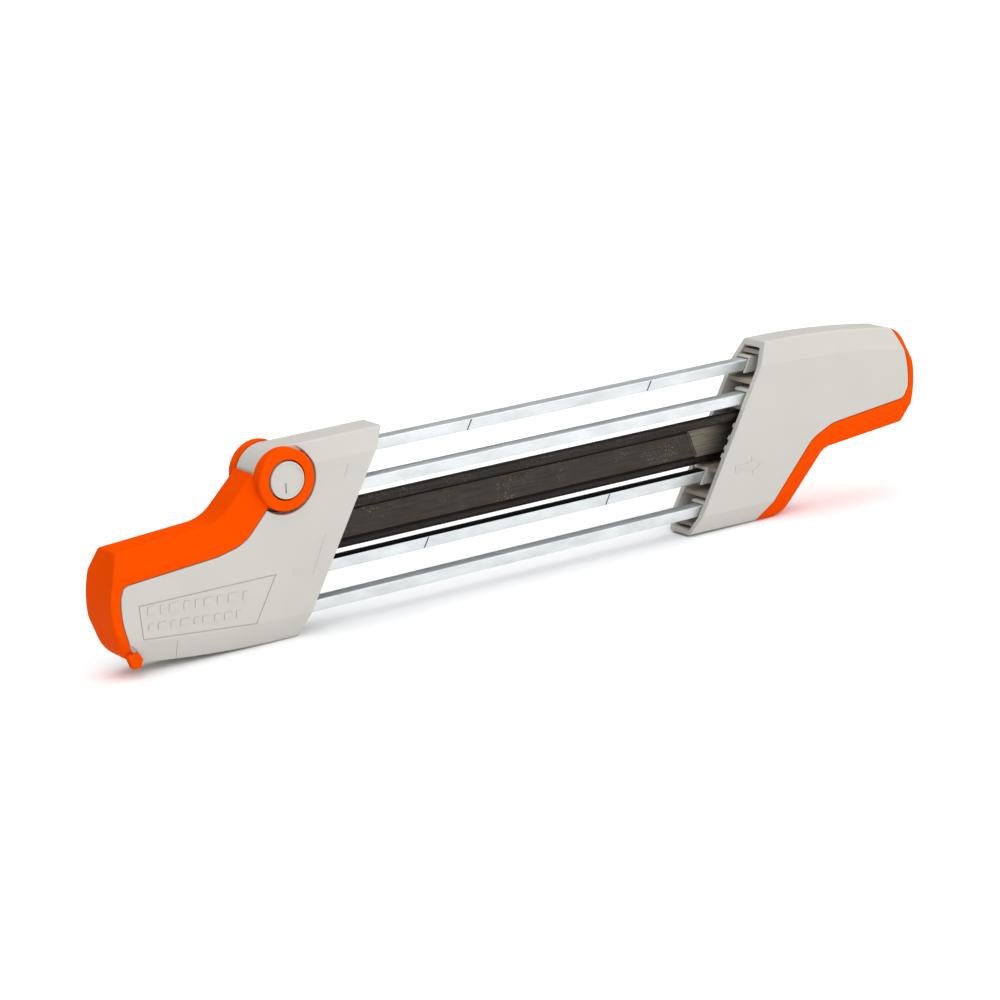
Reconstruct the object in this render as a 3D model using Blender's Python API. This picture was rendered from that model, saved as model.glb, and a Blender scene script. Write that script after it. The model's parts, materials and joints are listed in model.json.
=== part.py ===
"""Two-handled filing guide for saw chain.

Two slanted plastic handles are joined by four steel guide rails. Two round files and one
flat file run between the rails, through both handles. The left grip has a hinged cover
that holds the files from the end and swings up to let them out.

X runs along the rails, Y through the thickness and Z up. The outlines below are in
millimetres, with heights from the mid plane; the origin is under the middle, on the ground.
"""

import math

import bmesh
import bpy
from mathutils import Matrix, Vector

MM = 0.001

# Handles
HALF_HEIGHT = 34.0
HALF_GAP = 85.0  # from the middle to a handle's open end, at mid height
SLANT = math.tan(math.radians(30))
HALF_THICK = 9.2
HALF_CREST = 6.0  # narrow faces above and below, between the chamfers
CHAMFER_STRAIGHT = 7.2
CHAMFER_BELLY = 8.4
WALL = 2.2
END_WALL = 3.0
PLAY = 0.35  # between pieces that meet
CORNER_REACH = 6.0  # how far the outer lower corner's rounding runs each way

# Hinge of the file cover
PIVOT = (-106.8, 22.5)
HINGE_RADIUS = 10.5  # of the left handle's outline round the pivot
RING_RADIUS = 10.9
RING_INNER_Y = 6.2
RING_OUTER_Y = 10.7
BARREL_RADIUS = 10.4
BARREL_HALF = 5.9
RECESS_RADIUS = 12.4  # room round a ring, in the shell
BOSS_RADIUS = 14.2
CAP_RADIUS = 6.95
CAP_OUTER_Y = 11.1
BORE_RADIUS = 7.05
AXLE_RADIUS = 2.9
AXLE_HALF = 9.3
AXLE_PLAY = 0.05
RING_SIDES = 48

# Rounded outer end of a handle
END_CENTRE = (-136.9, -9.75)
END_RADIUS = 38.7
END_STRIPS = {1: 3.6, -1: 2.7}  # width of the coloured end seen from the side, left and right
END_STEPS = 8

# Rails: (front y, bottom z) of each bar
RAIL_DEEP = 5.8
RAIL_TALL = 4.0
RAIL_TAIL = 16.0  # held inside each handle
RAILS = {
    "guide_rail_1": (0.1, 23.0),
    "guide_rail_2": (-5.9, 12.0),
    "guide_rail_3": (0.1, -16.0),
    "guide_rail_4": (-5.9, -27.0),
}

# Files
FILE_RADIUS = 2.0
SHANK_RADIUS = 1.6
ROUND_FILES = {"round_file_front": (-3.6, 7.78), "round_file_back": (3.6, -7.78)}
FLAT_HALF_THICK = 1.4
FLAT_HALF_TALL = 5.6
FILE_TAIL = 17.0  # held inside each handle
FILE_TIP = 2.5  # length of the tapered ends
FILE_SIDES = 20

# Inserts that hold the rails
FRAME_FROM = 0.6  # depth behind a handle's open end
FRAME_TO = 11.8
FRAME_HALF_TALL = 29.6
POCKET_TO = 9.8
PLATE_FROM = 12.6
PLATE_TO = 13.8

# What holds the files' ends: a block on the right, and a pad on the cover's pusher on the left
SOCKET_FROM = 15.2
SOCKET_FLOOR = 1.6
SOCKET_HALF_TALL = 12.0
SOCKET_HALF_WIDE = 6.4
PAD_THICK = 2.4
PAD_HALF_TALL = 9.8
PAD_HALF_WIDE = 5.6
PUSHER_HALF_WIDE = 4.0

COLOURS = {
    "shell": ((0.665, 0.638, 0.591), 0.55, 0.0),
    "insert": ((0.56, 0.54, 0.50), 0.6, 0.0),
    "orange": ((1.0, 0.115, 0.004), 0.4, 0.0),
    "steel": ((0.78, 0.80, 0.80), 0.3, 1.0),
    "file": ((0.05, 0.045, 0.04), 0.5, 0.8),
    "rubber": ((0.03, 0.03, 0.03), 0.8, 0.0),
}


def clear_scene():
    for obj in list(bpy.data.objects):
        bpy.data.objects.remove(obj, do_unlink=True)


def material(name):
    colour, roughness, metallic = COLOURS[name]
    made = bpy.data.materials.get(name) or bpy.data.materials.new(name)
    made.use_nodes = True
    shader = made.node_tree.nodes["Principled BSDF"]
    shader.inputs["Base Color"].default_value = (*colour, 1.0)
    shader.inputs["Roughness"].default_value = roughness
    shader.inputs["Metallic"].default_value = metallic
    return made


def finish(obj, slot, smooth=False):
    """A visible sub-part: its material, and its shading if it is round."""
    obj.data.materials.append(material(slot))
    if smooth:
        obj.data.shade_smooth()
        obj.data.set_sharp_from_angle(angle=math.radians(30))
    return obj


def loft(name, axis, layers, side=1, pivot=None):
    """A closed solid through outlines of equal length, each given as (position, points).

    Along Y the points are (x, z), along X they are (y, z) and along Z they are (x, y).
    A position may be a function of the point, for a slanted end. Side -1 turns the solid
    through the middle of the object, and pivot puts the object's origin at an (x, z).
    """
    bm = bmesh.new()
    origin = (pivot[0], 0.0, pivot[1]) if pivot else (0.0, 0.0, -HALF_HEIGHT)
    rings = []
    for position, points in layers:
        ring = []
        for a, b in points:
            along = position((a, b)) if callable(position) else position
            spot = {"X": (along, a, b), "Y": (a, along, b), "Z": (a, b, along)}[axis]
            ring.append(bm.verts.new([(side * c - o) * MM for c, o in zip(spot, origin)]))
        rings.append(ring)
    for low, high in zip(rings, rings[1:]):
        for i in range(len(low)):
            j = (i + 1) % len(low)
            bm.faces.new((low[i], low[j], high[j], high[i]))
    bm.faces.new(rings[0])
    bm.faces.new(rings[-1])
    bmesh.ops.triangulate(bm, faces=bm.faces)
    bmesh.ops.recalc_face_normals(bm, faces=bm.faces)
    mesh = bpy.data.meshes.new(name)
    bm.to_mesh(mesh)
    bm.free()
    obj = bpy.data.objects.new(name, mesh)
    if pivot:
        obj.location = (pivot[0] * MM, 0.0, (pivot[1] + HALF_HEIGHT) * MM)
    bpy.context.scene.collection.objects.link(obj)
    return obj


def circle(centre, radius, sides):
    turns = [2 * math.pi * (i + 0.5) / sides for i in range(sides)]
    return [(centre[0] + radius * math.cos(t), centre[1] + radius * math.sin(t)) for t in turns]


def rectangle(low, high):
    return [(low[0], low[1]), (high[0], low[1]), (high[0], high[1]), (low[0], high[1])]


def disc(name, radius, near, far, pivot=None):
    """A round solid on the hinge's axis, from y = near to y = far."""
    outline = circle(PIVOT, radius, RING_SIDES)
    return loft(name, "Y", [(near, outline), (far, outline)], pivot=pivot)


def boolean(obj, operation, other):
    """Joins or cuts with a helper object, which stays out of the model."""
    modifier = obj.modifiers.new(other.name, "BOOLEAN")
    modifier.operation = operation
    modifier.solver = "EXACT"
    modifier.object = other
    other.hide_render = True
    other.display_type = "WIRE"
    return obj


def cut(obj, *others):
    for other in others:
        boolean(obj, "DIFFERENCE", other)
    return obj


def join(obj, *others):
    for other in others:
        boolean(obj, "UNION", other)
    return obj


def offset_chain(points, distance):
    """An open chain moved to its left by distance, corner for corner."""
    normals = []
    for (ax, az), (bx, bz) in zip(points, points[1:]):
        length = math.hypot(bx - ax, bz - az)
        normals.append(((az - bz) / length, (bx - ax) / length))
    moved = []
    for i, (x, z) in enumerate(points):
        before = normals[max(i - 1, 0)]
        after = normals[min(i, len(normals) - 1)]
        reach = distance / (1 + before[0] * after[0] + before[1] * after[1])
        moved.append((x + (before[0] + after[0]) * reach, z + (before[1] + after[1]) * reach))
    return moved


def arc(centre, radius, start, end, steps):
    """Points of an arc, with angles in degrees from +X towards +Z."""
    turns = [math.radians(start + (end - start) * i / steps) for i in range(steps + 1)]
    return [(centre[0] + radius * math.cos(t), centre[1] + radius * math.sin(t)) for t in turns]


def meet_end(inner, outer, radius):
    """Where the line through two points leaves the rounded end on the left."""
    dx, dz = outer[0] - inner[0], outer[1] - inner[1]
    fx, fz = inner[0] - END_CENTRE[0], inner[1] - END_CENTRE[1]
    a = dx * dx + dz * dz
    b = fx * dx + fz * dz
    c = fx * fx + fz * fz - radius * radius
    t = (-b + math.sqrt(b * b - a * c)) / a
    return (inner[0] + t * dx, inner[1] + t * dz)


def end_angle(point):
    turn = math.degrees(math.atan2(point[1] - END_CENTRE[1], point[0] - END_CENTRE[0]))
    return turn % 360


def fillet(before, corner, after, radius, steps):
    """An arc in place of a corner, tangent to both of its sides."""
    corner = Vector(corner)
    one = (Vector(before) - corner).normalized()
    two = (Vector(after) - corner).normalized()
    half = one.angle(two) / 2
    reach = radius / math.tan(half)
    centre = corner + (one + two).normalized() * (radius / math.sin(half))
    start = corner + one * reach - centre
    turn = (corner + two * reach - centre).angle(start)
    if start.x * two.y - start.y * two.x < 0:
        turn = -turn
    made = []
    for i in range(steps + 1):
        made.append(tuple(centre + Matrix.Rotation(turn * i / steps, 2) @ start))
    return made


# A handle's outline from the open end's top corner to the outer end. The right handle is
# drawn as it looks when it is turned end for end, and has no hinge.
MOUTH_TOP = (-HALF_GAP + SLANT * HALF_HEIGHT, HALF_HEIGHT)
LEFT_TOP_END = (-170.7, 9.1)
RISER_TOP = (PIVOT[0] - 11.1, PIVOT[1] + 3.0)
RIGHT_TOP_END = (-170.7, 8.8)
SHOULDER = (-110.2, HALF_HEIGHT)
RIGHT_BEND = (-132.2, 12.0)
UPPER_CHAINS = {
    1: (
        [MOUTH_TOP]
        + arc(PIVOT, HINGE_RADIUS, 90, 154, 6)
        + fillet(RISER_TOP, (-132.4, 11.45), LEFT_TOP_END, 15.0, 4)
        + [LEFT_TOP_END]
    ),
    -1: (
        [MOUTH_TOP]
        + fillet(MOUTH_TOP, SHOULDER, RIGHT_BEND, 13.0, 4)
        + fillet(SHOULDER, RIGHT_BEND, RIGHT_TOP_END, 8.0, 3)
        + [RIGHT_TOP_END]
    ),
}
# From the outer end back along the underside, which bows down to the ground
BELLY_FROM, BELLY_TO, BELLY_RISE = -170.8, -108.0, 5.3
BELLY_STEPS = 6
LOWER_CHAIN = [
    (
        BELLY_FROM + (BELLY_TO - BELLY_FROM) * i / BELLY_STEPS,
        -HALF_HEIGHT + BELLY_RISE * (1 - i / BELLY_STEPS) ** 2,
    )
    for i in range(BELLY_STEPS + 1)
] + [(-HALF_GAP - SLANT * HALF_HEIGHT, -HALF_HEIGHT)]

# Parting lines between a handle's shell and its coloured half, from the hinge outwards
COVER_PARTING = [
    (-112.0, 16.3), (-114.6, 14.0), (-117.0, 11.6), (-120.1, 7.9), (-124.0, 4.4),
    (-129.0, 2.2), (-134.5, 1.3), (-149.0, 0.1), (-168.6, -1.4), (-170.6, -2.3),
]
CAP_PARTING = [
    (-95.0, 36.3), (-104.5, 27.0), (-112.1, 20.3), (-119.8, 12.0), (-123.5, 7.6),
    (-127.6, 4.5), (-132.6, 2.7), (-149.0, 0.8), (-168.6, -1.2), (-170.6, -2.1),
]
FAR = 12.0  # how far a cutter runs past what it cuts


def rounded_corner(arrive, corner, leave, steps=4):
    """A parabola from one point to another, tangent to the lines through the corner."""
    made = []
    for i in range(steps + 1):
        t = i / steps
        weights = ((1 - t) ** 2, 2 * t * (1 - t), t * t)
        spots = zip(weights, (arrive, corner, leave))
        made.append(tuple(sum((Vector(spot) * w for w, spot in spots), Vector((0, 0)))))
    return made


def handle_outline(side, upper_inset, lower_inset, end_inset=0.0, beyond=0.0):
    """A handle's outline, with its long sides, its outer end and its mouth moved."""
    upper = offset_chain(UPPER_CHAINS[side], upper_inset)
    lower = offset_chain(LOWER_CHAIN, lower_inset)
    radius = END_RADIUS - end_inset
    upper[-1] = meet_end(upper[-2], upper[-1], radius)
    lower[0] = meet_end(lower[1], lower[0], radius)
    for chain, i in ((upper, 0), (lower, -1)):
        chain[i] = (-HALF_GAP + SLANT * chain[i][1] + beyond, chain[i][1])
    corner = Vector(lower[0])
    leave = corner + (Vector(lower[1]) - corner).normalized() * CORNER_REACH
    last = end_angle(corner) - math.degrees(CORNER_REACH / radius)
    end = arc(END_CENTRE, radius, end_angle(upper[-1]), last, END_STEPS)
    return upper + end[1:-1] + rounded_corner(end[-1], corner, leave) + lower[1:]


def wall_inset(chamfer, wall):
    """Where a wall's inner chamfer starts and ends: (depth at the side, half width on top)."""
    deep = HALF_THICK - HALF_CREST
    slope = math.hypot(chamfer, deep)
    return (
        (chamfer * (deep - wall) + wall * slope) / deep,
        HALF_CREST + (deep * wall - wall * slope) / chamfer,
    )


def envelope(name, side, pivot=None):
    """A handle's outer form: a slab with long chamfers above and below."""
    crest = handle_outline(side, 0.0, 0.0)
    flank = handle_outline(side, CHAMFER_STRAIGHT, CHAMFER_BELLY)
    layers = [(-HALF_THICK, flank), (-HALF_CREST, crest), (HALF_CREST, crest), (HALF_THICK, flank)]
    return loft(name, "Y", layers, side, pivot)


def hollow(name, side, end_inset, wall=WALL, beyond=FAR):
    """The room inside a handle's walls."""
    straight, top_half = wall_inset(CHAMFER_STRAIGHT, wall)
    belly, bottom_half = wall_inset(CHAMFER_BELLY, wall)
    half = min(top_half, bottom_half)
    crest = handle_outline(side, wall, wall, end_inset, beyond)
    flank = handle_outline(side, straight, belly, end_inset, beyond)
    inner = HALF_THICK - wall
    return loft(name, "Y", [(-inner, flank), (-half, crest), (half, crest), (inner, flank)], side)


def coloured_region(name, parting, side, grow=0.0):
    """A slab over the coloured half of a handle, up to its parting line."""
    strip = arc(END_CENTRE, END_RADIUS - END_STRIPS[side], 173, 222, END_STEPS)
    edge = offset_chain(parting + strip, grow)
    left = END_CENTRE[0] - END_RADIUS - FAR
    top = HALF_HEIGHT + FAR
    outline = edge + [(edge[-1][0], -top), (left, -top), (left, top), (edge[0][0], top)]
    return loft(name, "Y", [(-2 * FAR, outline), (2 * FAR, outline)], side)


def slanted(name, outline, near, far, side, pivot=None):
    """A prism along X whose ends lie parallel to a handle's mouth, near to far behind it."""
    layers = [
        (lambda point, depth=depth: HALF_GAP + SLANT * point[1] + depth, outline)
        for depth in (near, far)
    ]
    return loft(name, "X", layers, side, pivot)


def file_window():
    """The opening that the three files share: a tall slot with a notch at each end."""
    play = PLAY
    (y, z), radius = ROUND_FILES["round_file_front"], FILE_RADIUS + play
    thick, tall = FLAT_HALF_THICK + play, FLAT_HALF_TALL + play
    half = [
        (y - radius, z - radius),
        (y - radius, z + radius),
        (y + radius, z + radius),
        (y + radius, tall),
        (thick, tall),
    ]
    half.insert(0, (-thick, z - radius))
    return half + [(-a, -b) for a, b in half]


def rail_windows():
    windows = []
    for front, bottom in RAILS.values():
        low = (front - PLAY, bottom - PLAY)
        high = (front + RAIL_DEEP + PLAY, bottom + RAIL_TALL + PLAY)
        windows.append(rectangle(low, high))
    return windows


def pockets():
    """Blind rooms between an insert's ribs, as (y, z) rectangles."""
    side, web = 6.0, 0.9
    rooms = [rectangle((-side, -10.6), (side, 10.6))]
    for height in (0.0, -39.0):
        rooms.append(rectangle((-side, 22.6 + height), (-0.25 - web, 28.2 + height)))
        rooms.append(rectangle((0.25 + web, 11.7 + height), (side, 17.0 + height)))
        rooms.append(rectangle((-side, 18.2 + height), (side, 21.4 + height)))
    return rooms


def make_shells():
    left = envelope("left_handle_shell", 1)
    room = hollow("left_room", 1, -FAR)
    cut(room, disc("boss", BOSS_RADIUS, -2 * FAR, 2 * FAR))
    cut(left, coloured_region("cover_space", COVER_PARTING, 1, PLAY), room)
    join(left, disc("barrel", BARREL_RADIUS, -BARREL_HALF, BARREL_HALF))
    for label, sign in (("front", -1), ("back", 1)):
        recess = disc(f"recess_{label}", RECESS_RADIUS, sign * BARREL_HALF, sign * 2 * FAR)
        cut(left, recess)
    cut(left, disc("axle_hole", AXLE_RADIUS + AXLE_PLAY, -2 * FAR, 2 * FAR))
    cut(left, catch_room())
    finish(left, "shell", smooth=True)

    right = envelope("right_handle_shell", -1)
    cut(right, coloured_region("cap_space", CAP_PARTING, -1, PLAY), hollow("right_room", -1, -FAR))
    finish(right, "shell")


def make_grip_cap():
    cap = envelope("right_grip_cap", -1)
    boolean(cap, "INTERSECT", coloured_region("cap_region", CAP_PARTING, -1))
    cut(cap, hollow("cap_room", -1, END_WALL))
    finish(cap, "orange")


def make_cover():
    """The hinged cover: a trough over the grip, with two arms that end in rings."""
    cover = envelope("file_cover", 1, PIVOT)
    boolean(cover, "INTERSECT", coloured_region("cover_region", COVER_PARTING, 1))
    cut(cover, hollow("cover_room", 1, END_WALL))
    cut(cover, disc("barrel_room", RING_RADIUS + PLAY, -RING_INNER_Y, RING_INNER_Y))
    edge = 0.5
    for label, sign in (("front", -1), ("back", 1)):
        layers = [
            (sign * RING_INNER_Y, circle(PIVOT, RING_RADIUS, RING_SIDES)),
            (sign * (RING_OUTER_Y - edge), circle(PIVOT, RING_RADIUS, RING_SIDES)),
            (sign * RING_OUTER_Y, circle(PIVOT, RING_RADIUS - edge, RING_SIDES)),
        ]
        join(cover, loft(f"ring_{label}", "Y", layers))
    join(cover, catch())
    cut(cover, disc("cover_bore", BORE_RADIUS, -2 * FAR, 2 * FAR))
    finish(cover, "orange", smooth=True)


def catch():
    """A snap hook on the cover's front, over the shell's lower corner."""
    root_y, inner, outer, notch = -6.2, -7.6, -8.9, -168.9
    layers = []
    for z, left, tip in ((-30.4, -169.2, -166.3), (-27.6, -170.2, -165.2), (-25.2, -170.6, -166.8)):
        outline = [(left, outer), (tip, outer), (tip, inner), (notch, inner), (notch, root_y)]
        layers.append((z, outline + [(left, root_y)]))
    return loft("catch", "Z", layers)


def catch_room():
    """The notch in the shell that the hook lies in and slides out of."""
    left, low, back = -172.0, -36.0, -7.25
    outline = [
        (left, low), (-164.7, low), (-164.7, -27.4), (-166.6, -24.8), (-168.6, -22.4), (left, -22.4)
    ]
    return loft("catch_room", "Y", [(-FAR, outline), (back, outline)])


def make_hinge_pins():
    finish(disc("pivot_axle", AXLE_RADIUS, -AXLE_HALF, AXLE_HALF), "steel", smooth=True)
    edge = 0.4
    for label, sign in (("front", -1), ("back", 1)):
        layers = [
            (sign * RING_INNER_Y, circle(PIVOT, CAP_RADIUS, RING_SIDES)),
            (sign * (CAP_OUTER_Y - edge), circle(PIVOT, CAP_RADIUS, RING_SIDES)),
            (sign * CAP_OUTER_Y, circle(PIVOT, CAP_RADIUS - edge, RING_SIDES)),
        ]
        cap = loft(f"pivot_cap_{label}", "Y", layers)
        socket = disc(f"socket_{label}", AXLE_RADIUS + AXLE_PLAY, 0.0, sign * (AXLE_HALF + AXLE_PLAY))
        cut(cap, socket)
        finish(cap, "shell", smooth=True)


def make_rails():
    for name, (front, bottom) in RAILS.items():
        middle = bottom + RAIL_TALL / 2
        reach = HALF_GAP + RAIL_TAIL
        low, high = (front, bottom), (front + RAIL_DEEP, bottom + RAIL_TALL)
        ends = (SLANT * middle - reach, SLANT * middle + reach)
        rail = loft(name, "X", [(x, rectangle(low, high)) for x in ends])
        finish(rail, "steel")


def make_files():
    for name, centre in ROUND_FILES.items():
        reach = HALF_GAP + FILE_TAIL - SLANT * FILE_RADIUS
        middle = SLANT * centre[1]
        stations = [
            (middle - reach, SHANK_RADIUS),
            (middle - reach + FILE_TIP, FILE_RADIUS),
            (middle + reach - FILE_TIP, FILE_RADIUS),
            (middle + reach, SHANK_RADIUS),
        ]
        layers = [(x, circle(centre, radius, FILE_SIDES)) for x, radius in stations]
        finish(loft(name, "X", layers), "file", smooth=True)
    blade = rectangle((-FLAT_HALF_THICK, -FLAT_HALF_TALL), (FLAT_HALF_THICK, FLAT_HALF_TALL))
    reach = HALF_GAP + FILE_TAIL - SLANT * FLAT_HALF_TALL
    finish(loft("flat_file", "X", [(-reach, blade), (reach, blade)]), "file")


def make_inserts():
    """A ribbed insert and a steel lock plate in each handle, with windows for rails and files."""
    for label, side in (("left", -1), ("right", 1)):
        slab = rectangle((-2 * FAR, -FRAME_HALF_TALL), (2 * FAR, FRAME_HALF_TALL))
        insert = slanted(f"{label}_rail_insert", slab, FRAME_FROM, FRAME_TO, side)
        form = hollow(f"{label}_insert_form", -side, -FAR, WALL + PLAY)
        boolean(insert, "INTERSECT", form)
        plate = slanted(f"{label}_lock_plate", slab, PLATE_FROM, PLATE_TO, side)
        boolean(plate, "INTERSECT", form)
        for i, outline in enumerate(rail_windows() + [file_window()]):
            window = slanted(f"{label}_window_{i}", outline, -FAR, 2 * FAR, side)
            cut(insert, window)
            cut(plate, window)
        for i, outline in enumerate(pockets()):
            cut(insert, slanted(f"{label}_pocket_{i}", outline, -FAR, POCKET_TO, side))
        finish(insert, "insert")
        finish(plate, "steel")


def make_file_socket():
    """The block in the right handle that takes the files' tips."""
    floor = FILE_TAIL + PLAY
    block = rectangle((-SOCKET_HALF_WIDE, -SOCKET_HALF_TALL), (SOCKET_HALF_WIDE, SOCKET_HALF_TALL))
    socket = slanted("file_tip_socket", block, SOCKET_FROM, floor + SOCKET_FLOOR, 1)
    cut(socket, slanted("tip_seat", file_window(), -FAR, floor, 1))
    finish(socket, "insert")


def make_pusher():
    """The cover's arm and its pad, which stop the files from sliding out to the left."""
    near = FILE_TAIL + PLAY
    far = near + PAD_THICK
    outline = rectangle((-PAD_HALF_WIDE, -PAD_HALF_TALL), (PAD_HALF_WIDE, PAD_HALF_TALL))
    finish(slanted("cover_pressure_pad", outline, near, far, -1, PIVOT), "rubber")

    tip = -HALF_GAP - far - PLAY
    points = [
        (tip - SLANT * PAD_HALF_TALL, -PAD_HALF_TALL),
        (tip + SLANT * PAD_HALF_TALL, PAD_HALF_TALL),
        (tip - 12.0, 4.0),
        (-128.0, -1.0),
        (-171.1, -3.0),
        (-171.1, -10.5),
        (-128.0, -10.5),
    ]
    layers = [(-PUSHER_HALF_WIDE, points), (PUSHER_HALF_WIDE, points)]
    finish(loft("cover_pusher", "Y", layers, pivot=PIVOT), "orange")


def main():
    clear_scene()
    make_shells()
    make_grip_cap()
    make_cover()
    make_hinge_pins()
    make_rails()
    make_files()
    make_inserts()
    make_file_socket()
    make_pusher()


main()
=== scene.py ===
"""Looks of a two-handled filing guide for saw chain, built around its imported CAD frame.

The handles' outlines are in millimetres, with heights from the object's mid plane, as in the
CAD source. Everything that the frame can give (pivot, rails, files, sizes) is read from it.
"""

import json
import math

import bmesh
import bpy
from mathutils import Matrix, Vector


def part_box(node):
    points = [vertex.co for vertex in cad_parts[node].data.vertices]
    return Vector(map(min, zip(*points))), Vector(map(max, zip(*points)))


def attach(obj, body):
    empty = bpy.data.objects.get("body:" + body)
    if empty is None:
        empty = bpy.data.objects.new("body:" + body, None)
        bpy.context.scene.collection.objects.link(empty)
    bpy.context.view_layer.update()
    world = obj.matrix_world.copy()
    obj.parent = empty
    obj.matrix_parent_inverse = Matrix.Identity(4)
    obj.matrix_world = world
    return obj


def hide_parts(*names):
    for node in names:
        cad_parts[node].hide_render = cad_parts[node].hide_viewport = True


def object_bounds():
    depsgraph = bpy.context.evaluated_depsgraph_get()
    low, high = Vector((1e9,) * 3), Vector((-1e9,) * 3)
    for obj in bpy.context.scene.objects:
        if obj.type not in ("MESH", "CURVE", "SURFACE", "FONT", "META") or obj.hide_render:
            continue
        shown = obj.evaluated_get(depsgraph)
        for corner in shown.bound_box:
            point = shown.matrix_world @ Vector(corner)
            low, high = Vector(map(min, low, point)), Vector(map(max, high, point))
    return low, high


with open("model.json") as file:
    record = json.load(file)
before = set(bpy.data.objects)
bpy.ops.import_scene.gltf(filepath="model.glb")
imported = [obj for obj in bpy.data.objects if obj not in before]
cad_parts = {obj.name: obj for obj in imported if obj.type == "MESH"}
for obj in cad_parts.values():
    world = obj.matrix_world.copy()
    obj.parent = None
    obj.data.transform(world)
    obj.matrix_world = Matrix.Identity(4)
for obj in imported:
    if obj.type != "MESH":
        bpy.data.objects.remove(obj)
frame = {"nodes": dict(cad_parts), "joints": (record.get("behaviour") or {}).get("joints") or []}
cad_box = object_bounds()

MM = 0.001


def box_mm(node):
    """A CAD node's lowest and highest corners in millimetres, with z from the mid plane."""
    low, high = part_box(node)
    return (Vector(low) / MM - LIFT, Vector(high) / MM - LIFT)


# Driving sizes, from the frame
HALF_HEIGHT = (cad_box[1].z - cad_box[0].z) / 2 / MM
LIFT = Vector((0.0, 0.0, HALF_HEIGHT))
SLANT = math.tan(math.radians(30))
SHELL_LOW, SHELL_HIGH = box_mm("right_handle_shell")
HALF_THICK = SHELL_HIGH.y
HALF_GAP = SHELL_LOW.x + SLANT * HALF_HEIGHT
HINGE = frame["joints"][0]["pos_m"]
PIVOT = (HINGE[0] / MM, HINGE[2] / MM - HALF_HEIGHT)
CAP_LOW, CAP_HIGH = box_mm("pivot_cap_back")
CAP_RADIUS = (CAP_HIGH.x - CAP_LOW.x) / 2
CAP_FACE = CAP_HIGH.y
RING_FACE = box_mm("file_cover")[1].y
AXLE_HALF = box_mm("pivot_axle")[1].y
RAILS = [f"guide_rail_{i}" for i in (1, 2, 3, 4)]
ROUND_FILES = ("round_file_front", "round_file_back")
FAR = 12.0  # how far a cutter runs past what it cuts
ROUND_SIDES = 96  # sides of a turned part
SHARP_ANGLE = 32  # degrees; a sharper edge than this isn't shaded smooth

# Handles
HALF_CREST = 6.0
CHAMFER_STRAIGHT = 7.2
CHAMFER_BELLY = 8.4
WALL = 2.2
END_WALL = 3.0
GAP = 0.25  # the parting line's width
CREST_ROUND = 1.1
FLAT_ROUND = 2.2
EDGE_ROUND = 0.45
CORNER_ROUND = 0.9
CORNER_REACH = 6.0  # how far the outer lower corner's rounding runs each way
FLARE = 0.3  # how far an edge along a parting line is rounded

# Hinge
HINGE_RADIUS = 10.5  # of the handle's outline round the pivot
RING_RADIUS = 10.85
RING_INNER_Y = 6.2
BARREL_HALF = 5.9
BARREL_RADIUS = 10.45
BOSS_RADIUS = 14.2
BORE_RADIUS = CAP_RADIUS + 0.1
BORE_CHAMFER = 0.12
RING_ROUND = 0.9
RING_PLAY = 0.35  # between the barrel's room and a ring's edge
RECESS_RADIUS = 12.2
RECESS_FLARE = 0.12
GROOVE_RADIUS = RECESS_RADIUS - 0.2
GROOVE_FROM = 1.0
GROOVE_TOP = PIVOT[1] + 8.0  # above this the groove would cut through the crest
AXLE_ROOM = 3.0

# Pin heads: a rim round a shallow dish with a screwdriver slot
RIM_OUTER = CAP_RADIUS - 0.45
RIM_ROUND = 0.3
RIM_INNER = CAP_RADIUS - 1.0
DISH_RADIUS = CAP_RADIUS - 1.3
DISH_DEPTH = 0.3
DISH_MIDDLE = (2.0, 0.35)  # radius and depth of its flat middle
SLOT_DEPTH = 0.9

# Rails
RAIL_PLAY = 0.12
RAIL_ROUND = 0.35
SCRIBES = {"guide_rail_1": (-24.6, 55.2), "guide_rail_3": (-45.6, 34.1)}
SCRIBE_WIDTH = 0.5
PROUD = 0.03  # how far a mark or a strip stands out of its rail

# Files
FILE_PLAY = 0.3
FILE_LEANS = {"round_file_front": 0.35, "round_file_back": -0.35, "flat_file": -0.35}
ROUND_TEETH = (0.8, 0.05)  # pitch, and how much a tooth narrows the file, as a factor
FLAT_TEETH = (0.9, 0.1)
FLAT_HEEL = 26.0  # length of the flat file's plain end
SAFE_EDGE_SHADE_BANDS = (0.6, 1.05)  # heights of the uncut bands along the flat file's lower and upper edge, painted black as shade

# Rounded outer end of a handle
END_CENTRE = (-136.9, -9.75)
END_RADIUS = 38.7
END_STRIPS = {1: 3.6, -1: 2.7}  # seen from the side, left and right
END_STEPS = 12

# Depths behind a handle's open end
RIB_FROM = 0.7
SEAT_FROM = 0.3
BULKHEAD_FROM = 9.8
BULKHEAD_TO = 11.8
RIB_HEIGHTS = (29.9, 19.8, 11.0, -11.0, -19.8, -29.9)
RIB_HALF = 0.65
TOOTH_HEIGHTS = (4.9, 0.7, -2.9, -5.6)
TOOTH_HALF = 0.7

# Relief on the handles' sides
PANEL = [(-165.6, -9.2), (-165.0, -21.2), (-121.9, -25.1), (-112.9, -9.3)]
DASH_RELIEF = 0.3
DASH_LEAN = 0.4
DASH_ROWS = (  # start, end, height, widths
    ((-162.6, -13.0), (-125.2, -15.6), 2.7, (2.6, 1.2, 3.4, 2.2, 1.2, 3.0, 2.0, 3.6, 1.4)),
    ((-162.7, -18.2), (-128.1, -21.2), 2.1, (1.6, 2.8, 1.6, 3.2, 1.2, 2.6, 1.8, 2.6, 1.6)),
)
MARK_RELIEF = 0.14
ARROW_RELIEF = 0.1
PAD_SPAN = (-165.2, -151.8)
PAD_DEPTH = 0.22
PAD_TOP = 0.14  # where the pad starts, as a part of the chamfer's height
STEP_DEPTH = 0.07


# ---------------------------------------------------------------- outlines


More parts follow.
